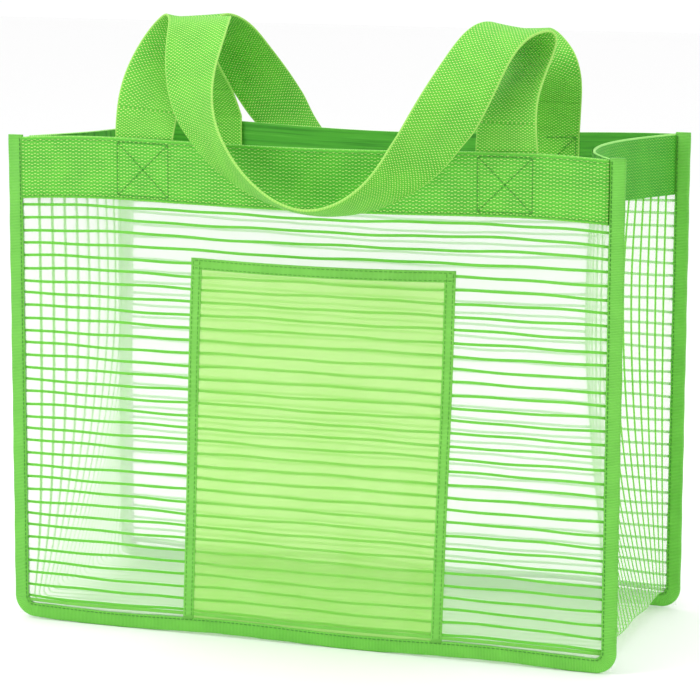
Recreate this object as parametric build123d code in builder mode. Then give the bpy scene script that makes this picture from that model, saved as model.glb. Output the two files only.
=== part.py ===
# Boxy open-topped beach bag of sheer striped fabric, with webbing bands, folded-tape bindings,
# a front pocket and two webbing handles.
# Millimetres. +Z is up, +X runs along the front, -Y is the front. The origin is on the floor, under the middle.
import os
from math import atan2, cos, degrees, pi, radians, sin

from build123d import *

os.makedirs("parts", exist_ok=True)

# The bag
seam_width = 374.0  # between the left and right seams
panel_depth = 166.0  # between the outer faces of the front and back panels
bag_height = 306.0  # floor to the top edge of the band
seam_radius = 4.0  # bottom corners, at the seam
sheer = 0.6  # thickness of the striped fabric
seam_allowance = 8.0  # fabric beyond the seam, inside the binding

# The folded tape round the front and back panels
tape_reach = 9.5  # how far it stands out from the seam
tape_sheet = 0.6  # thickness of one layer of tape
tape_slack = 0.05  # gap between tape and fabric
tape_overrun = 1.2  # cut ends stand above the band

# The webbing
webbing_width = 38.1
webbing = 1.5
gusset_band_end_gap = 1.8  # keeps the gusset bands clear of the bindings
gusset_band_gap = 0.3  # and of the side walls behind them

# How far the folded sides bow inwards at the top, and how far forward the bow's deepest point is
left_bow = 40.0
left_bow_lean = 1.0
right_bow = 25.0
right_bow_lean = 0.8

# The pocket, as seen from the front
pocket_top_left = -74.0
pocket_top_right = 95.0
pocket_top = 236.0
pocket_drift = -7.0  # its foot lies this far to the left
pocket_sheet = 0.5
pocket_bulge = 6.5  # how far its mouth stands off the panel
pocket_hem = 7.0

# The handles
handle_end_spacing = 230.0  # between the middles of a handle's two ends
handle_offset = 9.5  # the pair sits this far to the right on the front
tab_length = 37.0
hinge_gap = 0.3  # clear of the band's top edge
thread = 0.5
thread_rise = 0.3

panel_front = panel_depth / 2
panel_inner = panel_front - sheer
flange_inner = panel_inner - sheer
half_seam = seam_width / 2
wall_inset = half_seam - sheer
bottom_seam = tape_reach
curve_start = bottom_seam + seam_radius
band_bottom = bag_height - webbing_width
tape_outer = panel_front + tape_slack + tape_sheet
tape_inner = flange_inner - tape_slack - tape_sheet
hinge_height = bag_height + hinge_gap + webbing / 2
tab_middle = panel_inner - webbing / 2
wall_clear = half_seam + gusset_band_gap


def bag_outline(plane, reach, top):
    """Front view of the bag, grown by reach beyond the seams: straight sides, round bottom corners."""
    with BuildSketch(plane) as outline:
        height = top - bottom_seam + reach
        with Locations((0, top - height / 2)):
            Rectangle(seam_width + 2 * reach, height)
        corner = seam_radius + reach
        fillet(outline.vertices().group_by(Axis.Y)[0], corner)
    return outline.sketch


def slab(y_low, y_high, reach, top, mode=Mode.ADD):
    """The bag's outline as a flat slab between two depths."""
    extrude(bag_outline(Plane.XZ.offset(-y_high), reach, top), amount=y_high - y_low, mode=mode)


def write(piece, name):
    piece.part.label = name
    export_step(piece.part, f"parts/{name}.step")


# Panels: flat sheets whose edges run into the bindings
with BuildPart() as front_panel:
    slab(-panel_front, -panel_inner, seam_allowance, bag_height)
write(front_panel, "front_panel")

with BuildPart() as back_panel:
    slab(panel_inner, panel_front, seam_allowance, bag_height)
write(back_panel, "back_panel")


# Gusset: one strip that runs down the left side, under the bag and up the right side.
# Its sides bow inwards, more towards the top; its long edges are turned out as seam allowances.
def bow_at(y, z, depth, lean):
    along = min(max((y + panel_inner) / (2 * panel_inner), 0.0), 1.0)
    rise = sin(pi / 2 * (z - curve_start) / (bag_height - curve_start))
    skewed = along + lean * along * (1 - along) ** 2
    return depth * sin(pi * skewed) * rise


def side_section(z, side, depth, lean, outer, inner, half_length):
    """Plan section of a bowed side: outer and inner are distances from the middle, side is -1 or 1."""
    steps = 18
    stations = [half_length * (2 * i / steps - 1) for i in range(steps + 1)]
    outside = [(side * (outer - bow_at(y, z, depth, lean)), y) for y in stations]
    inside = [(side * (inner - bow_at(y, z, depth, lean)), y) for y in stations]
    with BuildSketch(Plane.XY.offset(z)) as section:
        with BuildLine():
            Spline(*outside)
            Line(outside[-1], inside[-1])
            Spline(*inside)
            Line(inside[0], outside[0])
        make_face()
    return section.sketch


side_levels = [curve_start, 70.0, 140.0, 220.0, band_bottom, bag_height]

with BuildPart() as gusset_strip:
    slab(-panel_inner, panel_inner, 0, curve_start)
    slab(-panel_inner, panel_inner, -sheer, curve_start, Mode.SUBTRACT)
    for side, depth, lean in ((-1, left_bow, left_bow_lean), (1, right_bow, right_bow_lean)):
        shape = (depth, lean, half_seam, wall_inset, panel_inner)
        loft([side_section(level, side, *shape) for level in side_levels])
    for near, far in ((-panel_inner, -flange_inner), (flange_inner, panel_inner)):
        rim = bag_outline(Plane.XZ.offset(-far), seam_allowance, bag_height)
        hollow = bag_outline(Plane.XZ.offset(-far), -sheer, bag_height)
        extrude(rim - hollow, amount=far - near)
write(gusset_strip, "gusset_strip")


# Webbing bands round the mouth: flat on the front and back, bowed with the gusset on the sides
def flat_band(y_low, y_high):
    with BuildSketch(Plane.XZ.offset(-y_high)) as strip:
        with Locations((0, bag_height - webbing_width / 2)):
            Rectangle(seam_width - 2 * tape_slack, webbing_width)
    return extrude(strip.sketch, amount=y_high - y_low)


with BuildPart() as front_top_band:
    flat_band(-panel_front - webbing, -panel_front)
write(front_top_band, "front_top_band")

with BuildPart() as back_top_band:
    flat_band(panel_front, panel_front + webbing)
write(back_top_band, "back_top_band")

for name, side, depth, lean in (
    ("left_gusset_band", -1, left_bow, left_bow_lean),
    ("right_gusset_band", 1, right_bow, right_bow_lean),
):
    with BuildPart() as gusset_band:
        band_levels = [band_bottom, band_bottom + webbing_width / 2, bag_height]
        shape = (depth, lean, wall_clear + webbing, wall_clear, panel_inner - gusset_band_end_gap)
        loft([side_section(level, side, *shape) for level in band_levels])
    write(gusset_band, name)


# Bindings: a tape folded over the seam allowances, down one side, along the foot and up the other
def folded_tape(y_low, y_high):
    slab(y_low, y_high, tape_reach, bag_height + tape_overrun)
    slab(y_low, y_high, 0, bag_height + tape_overrun, Mode.SUBTRACT)
    pocket_reach = tape_reach - tape_sheet
    slab(y_low + tape_sheet, y_high - tape_sheet, pocket_reach, bag_height + tape_overrun, Mode.SUBTRACT)


with BuildPart() as front_binding:
    folded_tape(-tape_outer, -tape_inner)
write(front_binding, "front_binding")

with BuildPart() as back_binding:
    folded_tape(tape_inner, tape_outer)
write(back_binding, "back_binding")


# Pocket: a sheet sewn down both sides and caught in the foot seam, its mouth standing off the panel
def pocket_section(z):
    """Plan section of the pocket sheet at one height, touching the panel at both side seams."""
    share = (z - bottom_seam) / (pocket_top - bottom_seam)
    left = pocket_top_left + pocket_drift * (1 - share)
    right = pocket_top_right + pocket_drift * (1 - share)
    bulge = pocket_bulge * sin(pi / 2 * share)
    steps = 6
    outside = [(left, -panel_front)]
    for i in range(steps + 1):
        part_way = i / steps
        x = left + pocket_hem + part_way * (right - left - 2 * pocket_hem)
        outside.append((x, -panel_front - pocket_sheet - bulge * sin(pi * part_way)))
    outside.append((right, -panel_front))
    inside = [(x, y + pocket_sheet) for x, y in outside[1:-1]]
    with BuildSketch(Plane.XY.offset(z)) as section:
        with BuildLine():
            Line((left, -panel_front), (left, -panel_front - pocket_sheet))
            Line((left, -panel_front - pocket_sheet), outside[1])
            Spline(*outside[1:-1])
            Line(outside[-2], (right, -panel_front - pocket_sheet))
            Line((right, -panel_front - pocket_sheet), (right, -panel_front))
            Line((right, -panel_front), inside[-1])
            Spline(*inside)
            Line(inside[0], (left, -panel_front))
        make_face()
    return section.sketch


pocket_levels = [bottom_seam + 0.1, 60.0, 130.0, 190.0, pocket_top]

with BuildPart() as pocket:
    loft([pocket_section(level) for level in pocket_levels])
write(pocket, "pocket")

# Handle ends: the webbing sewn flat inside the band, with a stitched box and cross
handle_ends = {
    "left": handle_offset - handle_end_spacing / 2,
    "right": handle_offset + handle_end_spacing / 2,
}


def placed(side, x, y, z):
    """A point of the front; on the back the same point turned half a turn about Z."""
    return (x, y, z) if side == "front" else (-x, -y, z)


sides = ("front", "back")

for side in sides:
    for end, x in handle_ends.items():
        with BuildPart() as tab:
            with Locations(placed(side, x, -tab_middle, bag_height - tab_length / 2)):
                Box(webbing_width, webbing, tab_length)
        write(tab, f"{side}_handle_{end}_tab")

# Handles: one length of webbing each, up from inside the band, over a ridge and down to a droop outside it.
# Each stop on the way is x, y, z of its middle, then how far its width has turned in plan and how far it dips.
front_route = [
    (-105, -71, 336, -16, 13),
    (-97, -56, 361, -26, 17),
    (-80, -60, 379, -30, 7),
    (-70, -79, 379.5, -23, -9),
    (-66, -101, 355, 4, -25),
    (-54, -114, 318, 43, -31),
    (-25, -115, 286, 72, -21),
    (15, -113, 271, 85, -11),
    (59, -111, 286, 104, -24),
    (86, -106, 317, 147, -37),
    (106.5, -95, 355.5, 192, -27),
    (124, -72, 379.5, 205, -8),
    (132, -59, 375, 204, 2),
    (131, -62, 361, 207, 5),
    (125, -76, 338, 197, 1),
]
back_route = [
    (-109, -70, 326, -10, 2),
    (-111, -51, 350, -27, 9),
    (-94, -61, 369, -37, 4),
    (-77, -83, 366, -30, -13),
    (-61, -98, 345, -2, -32),
    (-43, -108, 316, 43, -35),
    (-17, -113, 287, 76, -21),
    (20, -114, 271, 88, -10),
    (60, -111, 283, 100, -20),
    (88, -105, 313, 133, -35),
    (107, -93, 344, 175, -30),
    (120, -74, 370, 197, -13),
    (127, -55, 373, 199, -2),
    (129, -50, 356, 194, 1),
    (128.5, -67, 334, 188, 1),
]
routes = {"front": front_route, "back": back_route}


def strap_edges(route):
    """The two long edges of a handle, each a smooth line past its stops."""
    first = (handle_ends["left"], -tab_middle, hinge_height, 0, 0)
    last = (handle_ends["right"], -tab_middle, hinge_height, 180, 0)
    edges = ([], [])
    for x, y, z, turn, dip in (first, *route, last):
        flat = cos(radians(dip))
        width = Vector(-cos(radians(turn)) * flat, sin(radians(turn)) * flat, sin(radians(dip)))
        edges[0].append(Vector(x, y, z) + width * (webbing_width / 2))
        edges[1].append(Vector(x, y, z) - width * (webbing_width / 2))
    return [Spline(*edge, mode=Mode.PRIVATE).edge() for edge in edges]


for side in sides:
    with BuildPart() as handle:
        thicken(Face.make_surface_from_curves(*strap_edges(routes[side])), amount=webbing / 2, both=True)
        for x in handle_ends.values():
            with Locations(Location((x, -tab_middle, hinge_height), (0, 90, 0))):
                Cylinder(webbing / 2, webbing_width)
    if side == "back":
        handle.part = handle.part.rotate(Axis.Z, 180)
    write(handle, f"{side}_handle")


# Threads: each row of stitching is a thin raised line on the face that it is sewn through
def flip(side):
    return Plane.XZ if side == "front" else Plane.XZ.rotated((0, 0, 180))


box_width = 34.0
box_height = 33.0
box_middle = bag_height - 19.0
cross_angle = degrees(atan2(box_width, box_height))
cross_length = (box_width**2 + box_height**2) ** 0.5 - thread


def stitched_box(plane, x):
    with BuildSketch(plane) as box:
        with Locations((x, box_middle)):
            Rectangle(box_width, box_height)
            Rectangle(box_width - 2 * thread, box_height - 2 * thread, mode=Mode.SUBTRACT)
            Rectangle(thread, cross_length, rotation=cross_angle)
            Rectangle(thread, cross_length, rotation=-cross_angle)
    return box.sketch


for side in sides:
    with BuildPart() as handle_stitching:
        for x in handle_ends.values():
            outer_face = flip(side).offset(panel_front + webbing)
            inner_face = flip(side).offset(tab_middle - webbing / 2 - thread_rise)
            extrude(stitched_box(outer_face, x), amount=thread_rise)
            extrude(stitched_box(inner_face, x), amount=thread_rise)
    write(handle_stitching, f"{side}_handle_stitching")

binding_stitch_reach = 1.0

for side in sides:
    with BuildPart() as binding_stitching:
        for depth in (tape_outer, tape_inner - thread_rise):
            face = flip(side).offset(depth)
            wide = bag_outline(face, binding_stitch_reach + thread, bag_height)
            narrow = bag_outline(face, binding_stitch_reach, bag_height)
            extrude(wide - narrow, amount=thread_rise)
    write(binding_stitching, f"{side}_binding_stitching")

band_stitch_inset = 1.0

for side in sides:
    with BuildPart() as band_stitching:
        with BuildSketch(flip(side).offset(panel_front + webbing)):
            for z in (band_bottom + band_stitch_inset, bag_height - band_stitch_inset):
                with Locations((0, z)):
                    Rectangle(seam_width - 2, thread)
        extrude(amount=thread_rise)
    write(band_stitching, f"{side}_band_stitching")

pocket_seam_inset = 1.5
pocket_seam_length = pocket_top - bottom_seam - 4
pocket_seam_lean = degrees(atan2(-pocket_drift, pocket_top - bottom_seam))

with BuildPart() as pocket_stitching:
    with BuildSketch(Plane.XZ.offset(panel_front + pocket_sheet)):
        for x in (pocket_top_left + pocket_seam_inset, pocket_top_right - pocket_seam_inset):
            with Locations((x + pocket_drift / 2, (pocket_top + bottom_seam) / 2)):
                Rectangle(thread, pocket_seam_length, rotation=-pocket_seam_lean)
    extrude(amount=thread_rise)
write(pocket_stitching, "pocket_stitching")
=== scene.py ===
import math
import bpy
import numpy as np
from mathutils import Matrix, Vector


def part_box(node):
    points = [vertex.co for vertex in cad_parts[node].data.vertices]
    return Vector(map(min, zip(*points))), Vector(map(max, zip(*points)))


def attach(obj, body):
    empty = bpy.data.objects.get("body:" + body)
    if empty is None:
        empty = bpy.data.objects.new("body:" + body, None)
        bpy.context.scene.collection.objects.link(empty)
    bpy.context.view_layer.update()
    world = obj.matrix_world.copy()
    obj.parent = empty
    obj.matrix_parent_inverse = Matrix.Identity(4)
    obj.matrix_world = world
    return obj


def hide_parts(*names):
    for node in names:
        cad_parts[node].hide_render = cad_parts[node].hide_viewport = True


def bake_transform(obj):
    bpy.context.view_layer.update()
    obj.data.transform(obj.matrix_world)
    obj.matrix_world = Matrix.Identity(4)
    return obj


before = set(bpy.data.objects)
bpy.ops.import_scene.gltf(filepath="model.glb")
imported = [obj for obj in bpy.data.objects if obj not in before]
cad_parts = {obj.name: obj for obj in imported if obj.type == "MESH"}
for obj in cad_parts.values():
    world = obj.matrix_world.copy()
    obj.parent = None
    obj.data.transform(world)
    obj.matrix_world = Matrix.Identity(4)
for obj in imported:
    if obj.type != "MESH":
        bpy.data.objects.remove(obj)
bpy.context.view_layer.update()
mm = 0.001

# Main sizes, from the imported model
bandLow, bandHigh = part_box("front_top_band")
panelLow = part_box("front_panel")[0]
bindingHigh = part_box("front_binding")[1]
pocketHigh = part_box("pocket")[1]
halfSeam = 187 * mm  # half the width between the side seams
halfDepth = -panelLow.y
bagHeight = bandHigh.z
bandFoot = bandLow.z
webbingWidth = bagHeight - bandFoot
webbing = panelLow.y - bandLow.y
tapeReach = bindingHigh.x - halfSeam
seamRadius = 4 * mm
halfSheet = 0.3 * mm
sheetMiddle = halfDepth - halfSheet
curveStart = tapeReach + seamRadius
sides = {"front": 1, "back": -1}


def unit(v):
    return v / np.maximum(np.linalg.norm(v, axis=-1, keepdims=True), 1e-12)


def smooth(low, high, value):
    t = np.clip((value - low) / (high - low), 0, 1)
    return t * t * (3 - 2 * t)


def runAlong(line):
    return np.concatenate([[0], np.cumsum(np.linalg.norm(np.diff(line, axis=0), axis=1))])


def newStore():
    return {"points": [], "faces": [], "weave": [], "slots": [], "count": 0}


def addBlock(store, points, faces, weave, slot=0):
    store["points"].append(points)
    store["weave"].append(weave)
    store["faces"] += [tuple(i + store["count"] for i in face) for face in faces]
    store["slots"] += [slot] * len(faces)
    store["count"] += len(points)


def addSweep(store, middle, width, normal, profile, slot=0, start=0.0):
    rows, cols = len(middle), len(profile)
    a, b = profile[:, 0], profile[:, 1]
    points = middle[:, None] + width[:, None] * a[None, :, None] + normal[:, None] * b[None, :, None]
    run = start + runAlong(middle)
    weave = np.stack(np.broadcast_arrays(run[:, None], a[None, :]), -1)
    faces = [
        (i * cols + j, i * cols + (j + 1) % cols, (i + 1) * cols + (j + 1) % cols, (i + 1) * cols + j)
        for i in range(rows - 1)
        for j in range(cols)
    ]
    faces += [tuple(range(cols - 1, -1, -1)), tuple((rows - 1) * cols + j for j in range(cols))]
    addBlock(store, points.reshape(-1, 3), faces, weave.reshape(-1, 2), slot)


def addGrid(store, points, weave, slotOf=lambda i, j: 0):
    rows, cols = points.shape[:2]
    cells = [(i, j) for i in range(rows - 1) for j in range(cols - 1)]
    faces = [(i * cols + j, i * cols + j + 1, (i + 1) * cols + j + 1, (i + 1) * cols + j) for i, j in cells]
    addBlock(store, points.reshape(-1, 3), faces, weave.reshape(-1, 2))
    store["slots"][-len(cells) :] = [slotOf(i, j) for i, j in cells]


def makePiece(store, name, materials, nodes, body="bag"):
    mesh = bpy.data.meshes.new(name)
    points = settle(np.concatenate(store["points"]))
    mesh.from_pydata(points.tolist(), [], store["faces"])
    weave = np.concatenate(store["weave"])
    layer = mesh.uv_layers.new(name="weave")
    corners = np.zeros(len(mesh.loops), np.int32)
    mesh.loops.foreach_get("vertex_index", corners)
    layer.data.foreach_set("uv", weave[corners].ravel())
    for material in materials:
        mesh.materials.append(material)
    mesh.polygons.foreach_set("material_index", np.array(store["slots"], np.int32))
    mesh.polygons.foreach_set("use_smooth", np.ones(len(mesh.polygons), bool))
    mesh.update()
    piece = bpy.data.objects.new(name, mesh)
    bpy.context.scene.collection.objects.link(piece)
    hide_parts(*nodes)
    if body:
        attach(piece, body)
    return piece


# The bag isn't a perfect box: its rim and foot rise and dip a little and its faces are not quite flat
drape = {"front": (0.5, 2.1), "back": (-1.9, -2.6), "foot": 0.8, "slack": 1.1}  # mm


def settle(points):
    x, y, z = points[:, 0] / halfSeam, points[:, 1], points[:, 2]
    nearRim = smooth(0.17, 0.29, z) * (1 - smooth(0.308, 0.323, z))
    forward = 0.5 - 0.5 * np.clip(y / halfDepth, -1, 1)
    frontRise = drape["front"][0] + drape["front"][1] * np.sin(math.pi * np.clip(np.abs(x), 0, 1) ** 2)
    backRise = drape["back"][0] + drape["back"][1] * np.cos(math.pi * np.clip(x, -1, 1))
    lift = nearRim * (forward * frontRise + (1 - forward) * backRise)
    foot = (1 - smooth(0.0, 0.07, z)) * drape["foot"] * (1 + np.sin(7.3 * x + 9 * y / halfDepth))
    middle = smooth(0.02, 0.11, z) * (1 - smooth(0.19, 0.262, z)) * (1 - smooth(0.8, 1.0, np.abs(x)))
    flatness = smooth(0.9, 0.97, np.abs(y) / halfDepth)
    ripple = np.sin(4.2 * x + 21 * z) + 0.5 * np.sin(9.5 * x - 33 * z)
    moved = points.copy()
    moved[:, 1] += np.sign(y) * drape["slack"] * mm * ripple * middle * flatness
    moved[:, 2] += (lift + foot) * mm
    return moved


def stripProfile(width, thick, inset=0.5):
    w, t = width / 2, thick / 2
    r = t * inset * 2
    across = [(x, t) for x in np.linspace(-w + r, w - r, 5)]
    half = [(-w, 0), (-w + r * 0.3, t * 0.7)] + across + [(w - r * 0.3, t * 0.7), (w, 0)]
    return np.array(half + [(x, -y) for x, y in reversed(half[1:-1])])


def roundProfile(radius, count=8):
    angles = np.linspace(0, 2 * math.pi, count + 1)[:-1]
    return np.stack([radius * np.cos(angles), radius * np.sin(angles)], -1)


def smoothLine(stops, steps):
    stops = np.array(stops, float)
    gaps = np.linalg.norm(np.diff(stops, axis=0), axis=1)
    knots = np.concatenate([[0], np.cumsum(gaps)])
    n = len(stops)
    system, right = np.zeros((n, n)), np.zeros((n, stops.shape[1]))
    system[0, 0] = system[-1, -1] = 1
    for i in range(1, n - 1):
        system[i, i - 1 : i + 2] = gaps[i - 1], 2 * (gaps[i - 1] + gaps[i]), gaps[i]
        right[i] = 6 * ((stops[i + 1] - stops[i]) / gaps[i] - (stops[i] - stops[i - 1]) / gaps[i - 1])
    bend = np.linalg.solve(system, right)
    at = np.linspace(0, knots[-1], steps)
    k = np.clip(np.searchsorted(knots, at, "right") - 1, 0, n - 2)
    h = gaps[k][:, None]
    p = (at - knots[k])[:, None] / h
    q = 1 - p
    return q * stops[k] + p * stops[k + 1] + ((q**3 - q) * bend[k] + (p**3 - p) * bend[k + 1]) * h**2 / 6


def addStitches(store, line, normals, look):
    line, normals = np.array(line, float), np.array(normals, float)
    run = runAlong(line)
    count = int(run[-1] / look["pitch"])
    angles = np.linspace(0, 2 * math.pi, 7)[:-1]
    sizes = (0.45, 0.95, 1, 0.95, 0.45)
    faces = [
        (a * 6 + j, a * 6 + (j + 1) % 6, a * 6 + 6 + (j + 1) % 6, a * 6 + 6 + j)
        for a in range(4) for j in range(6)
    ]
    faces += [tuple(range(5, -1, -1)), tuple(24 + j for j in range(6))]
    for i in range(count):
        begin = (i + 0.5) * run[-1] / count - look["length"] / 2
        at = begin + np.array([0, 0.12, 0.5, 0.88, 1]) * look["length"]
        middle = np.stack([np.interp(at, run, line[:, k]) for k in range(3)], -1)
        normal = unit(np.stack([np.interp(at, run, normals[:, k]) for k in range(3)], -1))
        middle = middle + normal * (np.array([-0.7, 0.2, 0.5, 0.2, -0.7]) * look["radius"])[:, None]
        side = unit(np.cross(normal, middle[-1] - middle[0]))
        rings = [
            middle[k] + look["radius"] * sizes[k] * (
                np.cos(angles)[:, None] * side[k] + 0.8 * np.sin(angles)[:, None] * normal[k]
            )
            for k in range(5)
        ]
        weave = np.stack([np.repeat(at, 6), np.tile(angles, 5) * look["radius"]], -1)
        addBlock(store, np.concatenate(rings), faces, weave)


def tint(r, g, b):
    parts = [c / 255 for c in (r, g, b)]
    return [c / 12.92 if c <= 0.04045 else ((c + 0.055) / 1.055) ** 2.4 for c in parts] + [1]


def newMaterial(name):
    material = bpy.data.materials.new(name)
    material.use_nodes = True
    return material, material.node_tree


def feed(tree, socket, value):
    if isinstance(value, bpy.types.NodeSocket):
        tree.links.new(value, socket)
    else:
        socket.default_value = value


def calc(tree, operation, *values):
    node = tree.nodes.new("ShaderNodeMath")
    node.operation = operation
    for socket, value in zip(node.inputs, values):
        feed(tree, socket, value)
    return node.outputs[0]


def between(tree, value, low, high, newLow=0.0, newHigh=1.0):
    node = tree.nodes.new("ShaderNodeMapRange")
    node.interpolation_type = "SMOOTHSTEP"
    feed(tree, node.inputs["Value"], value)
    for name, number in (("From Min", low), ("From Max", high), ("To Min", newLow), ("To Max", newHigh)):
        feed(tree, node.inputs[name], number)
    return node.outputs["Result"]


def blendColours(tree, share, first, second):
    node = tree.nodes.new("ShaderNodeMix")
    node.data_type = "RGBA"
    feed(tree, node.inputs["Factor"], share)
    colours = [s for s in node.inputs if s.type == "RGBA"]
    feed(tree, colours[0], first)
    feed(tree, colours[1], second)
    return [s for s in node.outputs if s.type == "RGBA"][0]


def weaveAxes(tree):
    source = tree.nodes.new("ShaderNodeUVMap")
    source.uv_map = "weave"
    split = tree.nodes.new("ShaderNodeSeparateXYZ")
    tree.links.new(source.outputs["UV"], split.inputs["Vector"])
    return split.outputs["X"], split.outputs["Y"], source.outputs["UV"]


def noise(tree, vector, scale, detail=2.0):
    node = tree.nodes.new("ShaderNodeTexNoise")
    feed(tree, node.inputs["Vector"], vector)
    node.inputs["Scale"].default_value = scale
    node.inputs["Detail"].default_value = detail
    return node.outputs["Fac"]


def bump(tree, height, depth, shader):
    node = tree.nodes.new("ShaderNodeBump")
    feed(tree, node.inputs["Height"], height)
    node.inputs["Distance"].default_value = depth
    node.inputs["Strength"].default_value = 1.0
    tree.links.new(node.outputs["Normal"], shader.inputs["Normal"])


def webbingMaterial(name, look):
    material, tree = newMaterial(name)
    shader = tree.nodes["Principled BSDF"]
    u, v, both = weaveAxes(tree)
    if look["across"]:
        u, v = v, u
    sway = calc(tree, "SINE", calc(tree, "MULTIPLY", u, 2 * math.pi / look["dash"]))
    lanes = calc(tree, "MULTIPLY_ADD", sway, look["tilt"], v)
    row = calc(tree, "FLOOR", calc(tree, "DIVIDE", lanes, look["row"]))
    parity = calc(tree, "MULTIPLY", row, 0.5)
    dashes = calc(tree, "ADD", calc(tree, "DIVIDE", u, look["dash"]), parity)
    turn = calc(tree, "MULTIPLY", dashes, 2 * math.pi)
    along = calc(tree, "SINE", turn)
    lane = calc(tree, "FRACT", calc(tree, "DIVIDE", lanes, look["row"]))
    across = calc(tree, "SINE", calc(tree, "MULTIPLY", lane, math.pi))
    height = calc(tree, "MULTIPLY", across, calc(tree, "MULTIPLY_ADD", along, 0.42, 0.58))
    # Painted highlight: where the weave's crowns rise, the colour is pushed toward the pale light colour
    light = between(tree, height, 0.5, 0.95)
    patches = noise(tree, both, 60.0, 4.0)
    ground = blendColours(tree, between(tree, patches, 0.3, 0.7), look["deep"], look["base"])
    fromMiddle = calc(tree, "ABSOLUTE", u if look["across"] else v)
    edge = between(tree, fromMiddle, webbingWidth / 2 - 1.2 * mm, webbingWidth / 2 - 0.5 * mm)
    wovenWithHighlight = blendColours(tree, calc(tree, "MULTIPLY", light, look["highlightShare"]), ground, look["light"])
    colour = blendColours(tree, calc(tree, "MULTIPLY", edge, 0.7), wovenWithHighlight, look["edge"])
    feed(tree, shader.inputs["Base Color"], colour)
    shader.inputs["Roughness"].default_value = 0.62
    bump(tree, height, 0.35 * mm, shader)
    return material


def ribbedMaterial(name, look):
    material, tree = newMaterial(name)
    shader = tree.nodes["Principled BSDF"]
    u, v, both = weaveAxes(tree)
    wander = calc(tree, "MULTIPLY", noise(tree, both, 90.0), 0.25 * look["rib"])
    wandering = calc(tree, "ADD", u, wander)
    ribs = calc(tree, "SINE", calc(tree, "MULTIPLY", wandering, 2 * math.pi / look["rib"]))
    patches = noise(tree, both, 45.0, 3.0)
    ground = blendColours(tree, between(tree, patches, 0.3, 0.7), look["deep"], look["base"])
    # Painted highlight: the rib crests are pushed toward the light colour
    colour = blendColours(tree, between(tree, ribs, -0.2, 1.0, 0.0, look["highlightShare"]), ground, look["light"])
    feed(tree, shader.inputs["Base Color"], colour)
    shader.inputs["Roughness"].default_value = 0.5
    bump(tree, ribs, 0.12 * mm, shader)
    return material


def streakedMaterial(name, look):
    material, tree = newMaterial(name)
    shader = tree.nodes["Principled BSDF"]
    u, v = weaveAxes(tree)[:2]
    join = tree.nodes.new("ShaderNodeCombineXYZ")
    feed(tree, join.inputs["X"], calc(tree, "MULTIPLY", u, look["long"]))
    feed(tree, join.inputs["Y"], calc(tree, "MULTIPLY", v, look["fine"]))
    streaks = noise(tree, join.outputs["Vector"], 1.0, 4.0)
    dark = blendColours(tree, between(tree, streaks, 0.3, 0.55), look["deep"], look["base"])
    colour = blendColours(tree, between(tree, streaks, 0.55, 0.8), dark, look["light"])
    feed(tree, shader.inputs["Base Color"], colour)
    shader.inputs["Roughness"].default_value = 0.4
    bump(tree, streaks, 0.4 * mm, shader)
    return material


def threadMaterial(name, colour):
    material, tree = newMaterial(name)
    shader = tree.nodes["Principled BSDF"]
    u, v = weaveAxes(tree)[:2]
    ply = calc(tree, "SINE", calc(tree, "MULTIPLY", calc(tree, "ADD", u, v), 2 * math.pi / (0.45 * mm)))
    # Painted shade: the grooves between the twisted plies are darkened to 60 %
    plyGrooveShade = [c * 0.6 for c in colour[:3]] + [1]
    shadedPlies = blendColours(tree, between(tree, ply, -1.0, 1.0), plyGrooveShade, colour)
    feed(tree, shader.inputs["Base Color"], shadedPlies)
    shader.inputs["Roughness"].default_value = 0.45
    bump(tree, ply, 0.06 * mm, shader)
    return material


def filmMaterial(name, look):
    material, tree = newMaterial(name)
    shader = tree.nodes["Principled BSDF"]
    output = tree.nodes["Material Output"]
    u, v, both = weaveAxes(tree)
    turn = 2 * math.pi / look["mesh"]
    warp = calc(tree, "SINE", calc(tree, "MULTIPLY", u, turn))
    weft = calc(tree, "SINE", calc(tree, "MULTIPLY", v, turn))
    grid = calc(tree, "MULTIPLY", warp, weft)
    patches = between(tree, noise(tree, both, 25.0, 3.0), 0.3, 0.7)
    feed(tree, shader.inputs["Base Color"], blendColours(tree, patches, look["deep"], look["base"]))
    shader.inputs["Roughness"].default_value = look["roughness"]
    bump(tree, grid, 0.05 * mm, shader)
    through = tree.nodes.new("ShaderNodeBsdfTranslucent")
    through.inputs["Color"].default_value = look["through"]
    cloth = tree.nodes.new("ShaderNodeMixShader")
    cloth.inputs["Fac"].default_value = 0.5
    tree.links.new(shader.outputs["BSDF"], cloth.inputs[1])
    tree.links.new(through.outputs["BSDF"], cloth.inputs[2])
    blur = tree.nodes.new("ShaderNodeBsdfRefraction")
    blur.inputs["Color"].default_value = look["clear"]
    blur.inputs["IOR"].default_value = 1.08
    blur.inputs["Roughness"].default_value = look["blur"]
    clear = tree.nodes.new("ShaderNodeBsdfTransparent")
    clear.inputs["Color"].default_value = look["clear"]
    seen = tree.nodes.new("ShaderNodeMixShader")
    seen.inputs["Fac"].default_value = look["haze"]
    tree.links.new(clear.outputs["BSDF"], seen.inputs[1])
    tree.links.new(blur.outputs["BSDF"], seen.inputs[2])
    whole = tree.nodes.new("ShaderNodeMixShader")
    whole.inputs["Fac"].default_value = look["cover"]
    tree.links.new(seen.outputs["Shader"], whole.inputs[1])
    tree.links.new(cloth.outputs["Shader"], whole.inputs[2])
    tree.links.new(whole.outputs["Shader"], output.inputs["Surface"])
    return material


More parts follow.
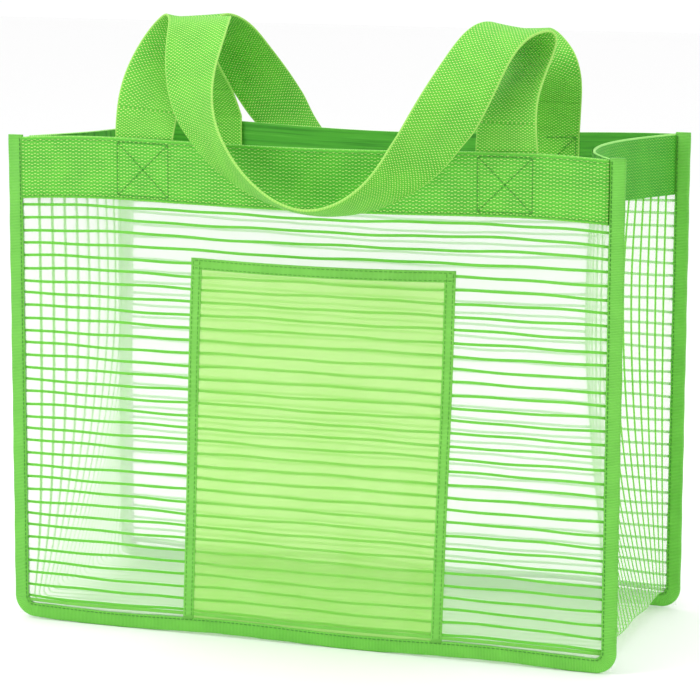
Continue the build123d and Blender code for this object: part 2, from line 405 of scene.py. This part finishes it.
sheerFilm = filmMaterial("sheer film", {
    "mesh": 0.7 * mm, "deep": tint(246, 252, 243), "base": tint(253, 255, 252),
    "through": tint(250, 254, 248), "roughness": 0.45, "clear": tint(255, 255, 255),
    "blur": 0.75, "haze": 0.42, "cover": 0.3,
})
gussetFilmCloth = filmMaterial("gusset film", {
    "mesh": 0.7 * mm, "deep": tint(248, 253, 244), "base": tint(254, 255, 252),
    "through": tint(252, 255, 248), "roughness": 0.5, "clear": tint(254, 255, 252), "blur": 0.5,
    "haze": 0.0, "cover": 0.34,
})
gussetYarn = filmMaterial("gusset yarn", {
    "mesh": 0.6 * mm, "deep": tint(136, 218, 88), "base": tint(160, 230, 110),
    "through": tint(180, 240, 130), "roughness": 0.4, "clear": tint(200, 244, 164), "blur": 0.5,
    "haze": 0.0, "cover": 0.6,
})
stripeCloth = filmMaterial("stripe yarn", {
    "mesh": 0.6 * mm, "deep": tint(132, 218, 84), "base": tint(154, 230, 106),
    "through": tint(172, 238, 122), "roughness": 0.4, "clear": tint(180, 240, 146),
    "blur": 0.75, "haze": 0.4, "cover": 0.75,
})
pocketFilm = filmMaterial("pocket film", {
    "mesh": 0.7 * mm, "deep": tint(180, 234, 120), "base": tint(198, 243, 144),
    "through": tint(208, 248, 154), "roughness": 0.4, "clear": tint(222, 249, 184), "blur": 0.5,
    "haze": 0.2, "cover": 0.52,
})
# Webbing looks: the light colour is a painted highlight laid on the crowns of the weave
bandWebbing = webbingMaterial("band webbing", {
    "across": False, "row": 1.05 * mm, "dash": 4.0 * mm, "tilt": 0.3 * mm,
    "base": tint(84, 190, 40), "deep": tint(72, 176, 34), "light": tint(208, 242, 132),
    "edge": tint(120, 208, 66), "highlightShare": 0.9,
})
# Lighter copy of the band webbing with a paler, stronger highlight: painted light for the handle tops that
# face the lamps
litHandleWebbing = webbingMaterial("lit handle webbing", {
    "across": True, "row": 1.0 * mm, "dash": 2.8 * mm, "tilt": 0.1 * mm,
    "base": tint(92, 196, 42), "deep": tint(80, 184, 36), "light": tint(222, 246, 138),
    "edge": tint(176, 232, 108), "highlightShare": 0.95,
})
# Darker copy of the band webbing with a duller highlight: painted shade for the bag's shaded sides
shadedGussetWebbing = webbingMaterial("shaded gusset webbing", {
    "across": False, "row": 0.95 * mm, "dash": 3.0 * mm, "tilt": 0.2 * mm,
    "base": tint(62, 172, 28), "deep": tint(52, 160, 24), "light": tint(158, 222, 86),
    "edge": tint(90, 188, 48), "highlightShare": 0.8,
})
backing = streakedMaterial("band backing", {
    "long": 12.0, "fine": 420.0, "base": tint(74, 164, 42), "deep": tint(48, 132, 26),
    "light": tint(104, 188, 66),
})
# Ribbed cloths: the light colour is a painted highlight on the rib crests
tapeCloth = ribbedMaterial("ribbed tape", {
    "rib": 0.95 * mm, "base": tint(104, 196, 60), "deep": tint(92, 184, 50),
    "light": tint(134, 216, 84), "highlightShare": 0.6,
})
hemCloth = ribbedMaterial("hem cloth", {
    "rib": 0.8 * mm, "base": tint(120, 206, 74), "deep": tint(108, 194, 62),
    "light": tint(142, 220, 96), "highlightShare": 0.5,
})
darkThread = threadMaterial("dark thread", tint(74, 168, 44))
boxThread = threadMaterial("box thread", tint(74, 168, 42))
bandThread = threadMaterial("band thread", tint(96, 190, 54))
print("materials made")


# Front and back: a sheer panel with woven stripes, darker where the webbing backs it
panelPlan = {
    "reach": 7.0 * mm, "foot": 1.8 * mm, "columns": 66, "rows": 44, "bandRows": 7,
    "stripes": 33, "pitch": 7.8 * mm, "first": 14.0 * mm, "width": 1.7 * mm, "thick": 0.36 * mm,
    "foldHeight": 11.9 * mm, "foldWidth": 2.2 * mm, "foldThick": 0.8 * mm,
}
for side, facing in sides.items():
    edge = halfSeam + panelPlan["reach"]
    xs = np.linspace(-edge, edge, panelPlan["columns"])
    sheerRows = np.linspace(panelPlan["foot"], bandFoot, panelPlan["rows"])
    backedRows = np.linspace(bandFoot, bagHeight, panelPlan["bandRows"])[1:]
    gridX, gridZ = np.meshgrid(xs, np.concatenate([sheerRows, backedRows]))
    points = np.stack([gridX * facing, np.full_like(gridX, -sheetMiddle * facing), gridZ], -1)
    store = newStore()
    lastSheer = panelPlan["rows"] - 1
    addGrid(store, points, np.stack([gridX, gridZ], -1), lambda i, j: int(i >= lastSheer))
    film = makePiece(store, f"{side}Sheer", [sheerFilm, backing], [f"{side}_panel"])
    store = newStore()
    lineX = np.linspace(-halfSeam, halfSeam, 60)
    upWay = np.tile([0.0, 0.0, 1.0], (len(lineX), 1))
    outWay = np.tile([0.0, -facing, 0.0], (len(lineX), 1))
    profile = stripProfile(panelPlan["width"], panelPlan["thick"])
    for k in range(panelPlan["stripes"]):
        z = panelPlan["first"] + k * panelPlan["pitch"]
        wave = 0.35 * np.sin(9 * lineX / halfSeam + 1.7 * k) + 0.2 * np.sin(23 * lineX / halfSeam + k)
        middle = np.stack([lineX * facing, np.full_like(lineX, -sheetMiddle * facing), z + wave * mm], -1)
        addSweep(store, middle, upWay, outWay, profile)
    foldZ = panelPlan["foldHeight"] + 0.5 * mm * np.sin(8 * lineX / halfSeam)
    middle = np.stack([lineX * facing, np.full_like(lineX, -(halfDepth + 0.05 * mm) * facing), foldZ], -1)
    addSweep(store, middle, upWay, outWay, stripProfile(panelPlan["foldWidth"], panelPlan["foldThick"]), 1)
    stripes = makePiece(store, f"{side}Stripes", [stripeCloth, hemCloth], [f"{side}_panel"])
print("panels made")


# The gusset: one sheer strip down the left, under the bag and up the right, its sides bowed in
# Each stop is a share of the way from front to back, then how deep the bow is there in mm
bowPlan = {
    "left": {
        "rim": [(0, 0), (0.06, 19), (0.18, 34), (0.36, 40), (0.6, 31), (0.8, 17), (1, 0)],
        "waist": [(0, 0), (0.06, 22), (0.18, 37), (0.36, 42), (0.6, 30), (0.8, 15), (1, 0)],
    },
    "right": {
        "rim": [(0, 0), (0.13, 15), (0.24, 21), (0.43, 25), (0.64, 22.5), (0.8, 15), (1, 0)],
        "waist": [(0, 0), (0.13, 15), (0.24, 23), (0.4, 30), (0.56, 33.5), (0.78, 20), (1, 0)],
    },
    "waistHeight": 215 * mm,
}
bowLines = {
    (side, level): smoothLine(np.array(bowPlan[side][level]) * [2 * sheetMiddle, mm], 200)
    for side in ("left", "right")
    for level in ("rim", "waist")
}


def bowAt(y, z, side):
    depths = [np.interp(y + sheetMiddle, *bowLines[side, level].T) for level in ("rim", "waist")]
    mix = smooth(bowPlan["waistHeight"], bagHeight, z)
    rise = np.sin(math.pi / 2 * np.clip((z - curveStart) / (bowPlan["waistHeight"] - curveStart), 0, 1))
    return (depths[0] * mix + depths[1] * (1 - mix)) * rise


def seamPath(reach, top, straight=44, corner=7, under=40):
    radius = seamRadius + reach
    half = halfSeam - seamRadius
    if top > bandFoot:
        besideBand = np.linspace(top, bandFoot, 8)
        down = np.concatenate([besideBand, np.linspace(bandFoot, curveStart, straight - 7)[1:]])
    else:
        down = np.linspace(top, curveStart, straight)
    turn = np.linspace(0, math.pi / 2, corner)[1:-1]
    left = np.stack([np.full_like(down, -half - radius), down], -1)
    bend = np.stack([-half - radius * np.cos(turn), curveStart - radius * np.sin(turn)], -1)
    flat = np.linspace(-half, half, under)
    foot = np.stack([flat, np.full_like(flat, curveStart - radius)], -1)
    leftHalf = np.concatenate([left, bend])
    roundOut = np.stack([-np.cos(turn), -np.sin(turn)], -1)
    leftOut = np.concatenate([np.tile([-1.0, 0.0], (straight, 1)), roundOut])
    path = np.concatenate([leftHalf, foot, leftHalf[::-1] * [-1, 1]])
    out = np.concatenate([leftOut, np.tile([0.0, -1.0], (under, 1)), leftOut[::-1] * [-1, 1]])
    return path, out


def gussetPoints(shares, reach, top=bagHeight):
    path, out = seamPath(reach, top)
    rows = []
    ys = np.linspace(-sheetMiddle + 0.6 * mm, sheetMiddle - 0.6 * mm, 161)
    for x, z in path:
        side, way = ("left", 1) if x < 0 else ("right", -1)
        wallX = x + way * bowAt(ys, np.full_like(ys, z), side)
        run = runAlong(np.stack([wallX, ys], -1))
        y = np.interp(shares * run[-1], run, ys)
        rows.append(np.stack([np.interp(y, ys, wallX), y, np.full_like(y, z)], -1))
    return np.array(rows), out


wall, out = gussetPoints(np.linspace(0, 1, 46), -halfSheet)
flare = np.stack([out[:, 0], 0 * out[:, 0], out[:, 1]], -1)[:, None]
frontFlange = wall[:, :1] + flare * np.array([6.5, 1.2])[None, :, None] * mm
backFlange = wall[:, -1:] + flare * np.array([1.2, 6.5])[None, :, None] * mm
strip = np.concatenate([frontFlange, wall, backFlange], 1)
acrossRun = runAlong(strip[60])
alongRun = runAlong(wall[:, 0])
weave = np.stack(np.broadcast_arrays(alongRun[:, None], acrossRun[None, :]), -1)
store = newStore()
heights = wall[:, 0, 2]
addGrid(store, strip, weave, lambda i, j: int(min(heights[i], heights[i + 1]) > bandFoot - 0.1 * mm))
gussetFilm = makePiece(store, "gussetSheer", [gussetFilmCloth, backing], ["gusset_strip"])
store = newStore()
stripePlan = {"count": 23, "width": 1.7 * mm, "thick": 0.3 * mm}
for k in range(stripePlan["count"]):
    share = (k + 1) / (stripePlan["count"] + 1)
    trio, out = gussetPoints(share + np.array([-0.003, 0, 0.003]), -halfSheet, bandFoot)
    width = unit(trio[:, 2] - trio[:, 0])
    normal = unit(np.cross(np.gradient(trio[:, 1], axis=0), width))
    addSweep(store, trio[:, 1], width, normal, stripProfile(stripePlan["width"], stripePlan["thick"]))
gussetStripes = makePiece(store, "gussetStripes", [gussetYarn], ["gusset_strip"])
print("gusset made")


# Webbing bands, each with a pale rolled edge along its top
bandPlan = {"flatRoll": 0.4 * mm, "gussetRoll": 0.85 * mm, "end": 0.2 * mm, "gap": 0.3 * mm}
rolled = ribbedMaterial("rolled edge", {
    "rib": 1.3 * mm, "base": tint(150, 226, 104), "deep": tint(132, 214, 88),
    "light": tint(190, 244, 150), "highlightShare": 0.7,
})


def addBand(store, foot, top, roll):
    width = unit(top - foot)
    normal = unit(np.cross(np.gradient(foot, axis=0), width))
    addSweep(store, (foot + top) / 2, width, normal, bandProfile)
    addSweep(store, top - width * 0.3 * mm, width, normal, roundProfile(roll), 1)


halfWide, halfThick = webbingWidth / 2, webbing / 2
rowsAcross = [(x, halfThick) for x in np.linspace(-halfWide + 0.5 * mm, halfWide - 0.5 * mm, 9)]
startEdge = [(-halfWide, 0.0), (-halfWide + 0.15 * mm, halfThick * 0.7)]
halfBand = startEdge + rowsAcross + [(-x, y) for x, y in reversed(startEdge)]
bandProfile = np.array(halfBand + [(x, -y) for x, y in reversed(halfBand[1:-1])])
for side, facing in sides.items():
    xs = np.linspace(-halfSeam + bandPlan["end"], halfSeam - bandPlan["end"], 90)
    bandY = np.full_like(xs, (-halfDepth - halfThick) * facing)
    store = newStore()
    foot, top = [np.stack([xs * facing, bandY, np.full_like(xs, z)], -1) for z in (bandFoot, bagHeight)]
    addBand(store, foot, top, bandPlan["flatRoll"])
    makePiece(store, f"{side}Band", [bandWebbing, rolled], [f"{side}_top_band"])
for side, way in (("left", -1), ("right", 1)):
    ys = np.linspace(-sheetMiddle + 2 * mm, sheetMiddle - 2 * mm, 60)
    store = newStore()
    offset = halfSeam + bandPlan["gap"] + halfThick
    foot, top = [
        np.stack([way * (offset - bowAt(ys, np.full_like(ys, z), side)), ys, np.full_like(ys, z)], -1)
        for z in (bandFoot, bagHeight)
    ]
    addBand(store, foot, top, bandPlan["gussetRoll"])
    makePiece(store, f"{side}GussetBand", [shadedGussetWebbing, rolled], [f"{side}_gusset_band"])
print("bands made")


# Bindings: ribbed tape folded over the seams
tapePlan = {"half": 1.25 * mm, "outerThread": 0.68 * mm, "innerThread": 1.88 * mm}
r, h = tapePlan["half"], tapeReach / 2
fold = [(h - r + r * math.sin(a), r * math.cos(a)) for a in np.linspace(0, math.pi, 7)]
cutEdges = [(-h + 0.1 * mm, r * 0.75), (-h + 0.5 * mm, r * 0.35)]
inner = [(x, -y) for x, y in cutEdges] + cutEdges[::-1]
flatTop = [(-h + 0.3 * mm, r), (-h * 0.4, r * 1.04), (h * 0.3, r)]
flatFoot = [(x, -y) for x, y in reversed(flatTop)]
tapeProfile = np.array(flatTop + fold + flatFoot + inner)
for side, facing in sides.items():
    path, out = seamPath(tapeReach / 2, bindingHigh.z, 90, 14, 110)
    tapeY = np.full(len(path), -(halfDepth - 2 * halfSheet) * facing)
    middle = np.stack([path[:, 0] * facing, tapeY, path[:, 1]], -1)
    width = np.stack([out[:, 0] * facing, 0 * out[:, 0], out[:, 1]], -1)
    run = runAlong(middle)
    pucker = 1 + 0.02 * np.sin(run * 260) + 0.02 * np.sin(run * 97 + 1)
    store = newStore()
    normal = np.tile([0.0, -facing, 0.0], (len(path), 1))
    addSweep(store, middle, width * pucker[:, None], normal, tapeProfile)
    makePiece(store, f"{side}Binding", [tapeCloth], [f"{side}_binding"])
print("bindings made")


# The pocket: a lime sheet with a turned hem on its two sides and its mouth
pocketPlan = {
    "left": -74 * mm, "right": 95 * mm, "drift": -7 * mm, "bulge": 6.5 * mm,
    "sheet": 0.5 * mm, "hem": 7 * mm, "hemThick": 0.7 * mm, "threadRise": 0.62 * mm,
}
pocketTop = pocketHigh.z


def pocketPoint(across, z):
    share = (z - tapeReach) / (pocketTop - tapeReach)
    shift = pocketPlan["drift"] * (1 - share)
    left, right = pocketPlan["left"] + shift, pocketPlan["right"] + shift
    x = left + across
    t = np.clip((x - left - pocketPlan["hem"]) / (right - left - 2 * pocketPlan["hem"]), 0, 1)
    bulge = pocketPlan["bulge"] * np.sin(math.pi / 2 * np.clip(share, 0, 1)) * np.sin(math.pi * t)
    return np.stack([x, -halfDepth - pocketPlan["sheet"] / 2 - bulge, z], -1)


pocketWidth = pocketPlan["right"] - pocketPlan["left"]
betweenHems = np.linspace(pocketPlan["hem"], pocketWidth - pocketPlan["hem"], 34)
acrossSteps = np.concatenate([[0], betweenHems, [pocketWidth]])
upSteps = np.linspace(tapeReach - 1 * mm, pocketTop, 40)
gridA, gridZ = np.meshgrid(acrossSteps, upSteps)
store = newStore()
addGrid(store, pocketPoint(gridA, gridZ), np.stack([gridA, gridZ], -1))
pocketSheet = makePiece(store, "pocketSheet", [pocketFilm], ["pocket"])
store = newStore()


def addHem(acrossLine, zLine, widthWay):
    middle = pocketPoint(acrossLine, zLine)
    if widthWay == "across":
        width = unit(pocketPoint(acrossLine + 1e-4, zLine) - pocketPoint(acrossLine - 1e-4, zLine))
    else:
        width = np.tile([0.0, 0.0, 1.0], (len(middle), 1))
    tangent = np.gradient(middle, axis=0)
    normal = unit(np.cross(tangent, width))
    normal *= -np.sign(normal[:, 1:2])
    profile = stripProfile(pocketPlan["hem"], pocketPlan["hemThick"])
    addSweep(store, middle + normal * pocketPlan["sheet"] / 2, width, normal, profile)


upLine = np.linspace(tapeReach - 1 * mm, pocketTop - 0.3 * mm, 60)
halfHem = pocketPlan["hem"] / 2
addHem(np.full_like(upLine, halfHem), upLine, "across")
addHem(np.full_like(upLine, pocketWidth - halfHem), upLine, "across")
mouthLine = np.linspace(0.1 * mm, pocketWidth - 0.1 * mm, 70)
addHem(mouthLine, np.full_like(mouthLine, pocketTop - halfHem), "up")
pocketHems = makePiece(store, "pocketHems", [hemCloth], ["pocket"])
print("pocket made")


# Handles: one length of webbing each, a loop that turns with the handle and two short legs sewn to the band
# Each stop is the strap's middle in mm, then its width's turn in plan and its dip in degrees
handlePlan = {
    "ends": (-105.5, 124.5), "tab": 37 * mm, "cut": 325 * mm, "sewnSteps": 16,
    "front": [
        (-105, -71, 336, -16, 13), (-97, -56, 361, -26, 17), (-80, -60, 379, -30, 7),
        (-70, -79, 379.5, -23, -9), (-66, -101, 355, 4, -25), (-54, -114, 318, 43, -31),
        (-25, -115, 286, 72, -21), (15, -113, 271, 85, -11), (59, -111, 286, 104, -24),
        (86, -106, 317, 147, -37), (106.5, -95, 355.5, 192, -27), (124, -72, 379.5, 205, -8),
        (132, -59, 375, 204, 2), (131, -62, 361, 207, 5), (125, -76, 338, 197, 1),
    ],
    "back": [
        (-109, -70, 326, -10, 2), (-111, -51, 350, -27, 9), (-94, -61, 369, -37, 4),
        (-77, -83, 366, -30, -13), (-61, -98, 345, -2, -32), (-43, -108, 316, 43, -35),
        (-17, -113, 287, 76, -21), (20, -114, 271, 88, -10), (60, -111, 283, 100, -20),
        (88, -105, 313, 133, -35), (107, -93, 344, 175, -30), (120, -74, 370, 197, -13),
        (127, -55, 373, 199, -2), (129, -50, 356, 194, 1), (128.5, -67, 334, 188, 1),
    ],
}
tabMiddle = halfDepth - 0.6 * mm - webbing / 2


def strapFrames(side):
    halfWidth = webbingWidth / 2 / mm
    start = bagHeight / mm + 1.05
    first = (handlePlan["ends"][0], -tabMiddle / mm, start, 0, 0)
    last = (handlePlan["ends"][1], -tabMiddle / mm, start, 180, 0)
    edges = []
    for x, y, z, turn, dip in (first, *handlePlan[side], last):
        turn, dip = math.radians(turn), math.radians(dip)
        width = np.array([-math.cos(turn) * math.cos(dip), math.sin(turn) * math.cos(dip), math.sin(dip)])
        middle = np.array([x, y, z])
        edges.append(np.concatenate([middle + width * halfWidth, middle - width * halfWidth]))
    rail = smoothLine(edges, 420) * mm
    facing = sides[side]
    near, far = rail[:, :3] * [facing, facing, 1], rail[:, 3:] * [facing, facing, 1]
    middle, width = (near + far) / 2, unit(near - far)
    tangent = unit(np.gradient(middle, axis=0))
    normal = unit(np.cross(tangent, width))
    return middle, unit(np.cross(normal, tangent)), normal


for side, facing in sides.items():
    middle, width, normal = strapFrames(side)
    high = np.nonzero(middle[:, 2] > handlePlan["cut"])[0]
    low, top = high[0], high[-1]
    store = newStore()
    addSweep(store, middle[low : top + 1], width[low : top + 1], normal[low : top + 1], bandProfile)
    makePiece(store, f"{side}Handle", [litHandleWebbing], [f"{side}_handle"], f"{side}_handle")
    for end, piece in (("left", slice(0, low + 1)), ("right", slice(top, None))):
        sewnX = handlePlan["ends"][0 if end == "left" else 1] * mm * facing
        steps = handlePlan["sewnSteps"]
        levels = np.linspace(bagHeight - handlePlan["tab"], bagHeight - 1 * mm, steps)
        sewn = np.stack([np.full(steps, sewnX), np.full(steps, -tabMiddle * facing), levels], -1)
        free = middle[piece, 2] > bagHeight + 1 * mm
        freeMiddle, freeWidth, freeNormal = [line[piece][free] for line in (middle, width, normal)]
        if end == "left":
            legMiddle = np.concatenate([sewn, freeMiddle])
            legWidth = np.concatenate([np.tile(width[0], (steps, 1)), freeWidth])
            legNormal = np.concatenate([np.tile(normal[0], (steps, 1)), freeNormal])
        else:
            legMiddle = np.concatenate([freeMiddle, sewn[::-1]])
            legWidth = np.concatenate([freeWidth, np.tile(width[-1], (steps, 1))])
            legNormal = np.concatenate([freeNormal, np.tile(normal[-1], (steps, 1))])
        store = newStore()
        addSweep(store, legMiddle, legWidth, legNormal, bandProfile)
        name = f"{side}Handle{end.title()}Leg"
        leg = makePiece(store, name, [litHandleWebbing], [f"{side}_handle_{end}_tab"], None)
        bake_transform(leg)
print("handles made")


# Stitching: every stitch is its own little raised thread
seamLook = {"pitch": 3.0 * mm, "length": 2.3 * mm, "radius": 0.24 * mm}
boxLook = {"pitch": 2.6 * mm, "length": 2.3 * mm, "radius": 0.28 * mm}
tapeLook = {"pitch": 2.8 * mm, "length": 2.2 * mm, "radius": 0.3 * mm}
boxPlan = {"halfWide": 16.7 * mm, "halfHigh": 16.2 * mm, "drop": 19 * mm}


def straightRow(line, normal, steps=60):
    ends = np.array(line, float)
    t = np.linspace(0, 1, steps)[:, None]
    return ends[0] * (1 - t) + ends[1] * t, np.tile(np.array(normal, float), (steps, 1))


for side, facing in sides.items():
    store = newStore()
    for x in handlePlan["ends"]:
        for y, way in ((-halfDepth - webbing, -1), (-tabMiddle + webbing / 2, 1)):
            a, b = boxPlan["halfWide"], boxPlan["halfHigh"]
            corners = [
                ((x * mm + dx) * facing, y * facing, bagHeight - boxPlan["drop"] + dz)
                for dx, dz in ((-a, -b), (a, -b), (a, b), (-a, b))
            ]
            for i, j in ((0, 1), (1, 2), (2, 3), (3, 0), (0, 2), (1, 3)):
                row = straightRow([corners[i], corners[j]], (0, way * facing, 0))
                addStitches(store, *row, boxLook)
    makePiece(store, f"{side}HandleStitching", [boxThread], [f"{side}_handle_stitching"])
    store = newStore()
    path, out = seamPath(1.4 * mm, bagHeight - 0.5 * mm)
    for y, way in ((-halfDepth - tapePlan["outerThread"], -1), (-halfDepth + tapePlan["innerThread"], 1)):
        line = np.stack([path[:, 0] * facing, np.full(len(path), y * facing), path[:, 1]], -1)
        addStitches(store, line, np.tile([0.0, way * facing, 0.0], (len(path), 1)), tapeLook)
    makePiece(store, f"{side}BindingStitching", [darkThread], [f"{side}_binding_stitching"])
    store = newStore()
    for z in (bandFoot + 1.6 * mm, bagHeight - 2.2 * mm):
        line = [(x, (-halfDepth - webbing) * facing, z) for x in (-halfSeam + 1 * mm, halfSeam - 1 * mm)]
        addStitches(store, *straightRow(line, (0, -facing, 0), 90), seamLook)
    makePiece(store, f"{side}BandStitching", [bandThread], [f"{side}_band_stitching"])
store = newStore()
upLine = np.linspace(tapeReach + 1 * mm, pocketTop - 1.5 * mm, 60)
proud = np.array([0, -pocketPlan["threadRise"], 0])
for inset in (1.5 * mm, pocketPlan["hem"] - 1.4 * mm):
    for across in (inset, pocketWidth - inset):
        stitchLine = pocketPoint(np.full_like(upLine, across), upLine) + proud
        addStitches(store, stitchLine, np.tile([0.0, -1.0, 0.0], (60, 1)), seamLook)
mouthLine = np.linspace(2 * mm, pocketWidth - 2 * mm, 80)
for drop in (1.4 * mm, pocketPlan["hem"] - 1.0 * mm):
    stitchLine = pocketPoint(mouthLine, np.full_like(mouthLine, pocketTop - drop)) + proud
    addStitches(store, stitchLine, np.tile([0.0, -1.0, 0.0], (80, 1)), seamLook)
makePiece(store, "pocketStitching", [bandThread], ["pocket_stitching"])
print("stitching made")


# Studio: pale floor, white surroundings, soft lights
bpy.ops.mesh.primitive_plane_add(size=12, location=(0, 0, 0))
floor = bpy.context.object
floor.name = "floor"
floorPaint, tree = newMaterial("floor paint")
shader = tree.nodes["Principled BSDF"]
shader.inputs["Base Color"].default_value = tint(250, 250, 250)
shader.inputs["Roughness"].default_value = 0.9
floor.data.materials.append(floorPaint)

world = bpy.data.worlds.new("studio")
bpy.context.scene.world = world
world.use_nodes = True
background = world.node_tree.nodes["Background"]
background.inputs["Color"].default_value = (1, 1, 1, 1)
background.inputs["Strength"].default_value = 1.02
lamps = {  # where each stands, its size in metres and its power in watts
    "key": ((-1.0, -1.0, 1.6), 1.0, 11),
    "fill": ((1.3, -1.0, 0.9), 1.4, 1),
    "top": ((0.0, 0.1, 1.8), 1.2, 7),
}
for name, (place, size, power) in lamps.items():
    data = bpy.data.lights.new(name, "AREA")
    data.shape = "DISK"
    data.size = size
    data.energy = power
    lamp = bpy.data.objects.new(name, data)
    lamp.location = place
    lamp.rotation_euler = (Vector((0, 0, 0.15)) - Vector(place)).to_track_quat("-Z", "Y").to_euler()
    bpy.context.scene.collection.objects.link(lamp)

cameraPlan = {"place": (0.6081, -1.7244, 0.4830), "yaw": -19.45, "pitch": 9.69, "roll": 0.21, "lens": 151.1}
yaw, pitch, roll = [math.radians(cameraPlan[name]) for name in ("yaw", "pitch", "roll")]
ahead = Vector((math.sin(yaw) * math.cos(pitch), math.cos(yaw) * math.cos(pitch), -math.sin(pitch)))
level = Vector((math.cos(yaw), -math.sin(yaw), 0))
upward = level.cross(ahead)
across = level * math.cos(roll) + upward * math.sin(roll)
data = bpy.data.cameras.new("camera")
data.lens = cameraPlan["lens"]
data.sensor_width = 36
camera = bpy.data.objects.new("camera", data)
turned = Matrix((across, across.cross(ahead), -ahead)).transposed().to_4x4()
camera.matrix_world = Matrix.Translation(cameraPlan["place"]) @ turned
bpy.context.scene.collection.objects.link(camera)
bpy.context.scene.camera = camera
bpy.context.scene.view_settings.view_transform = "Standard"
print("studio made")
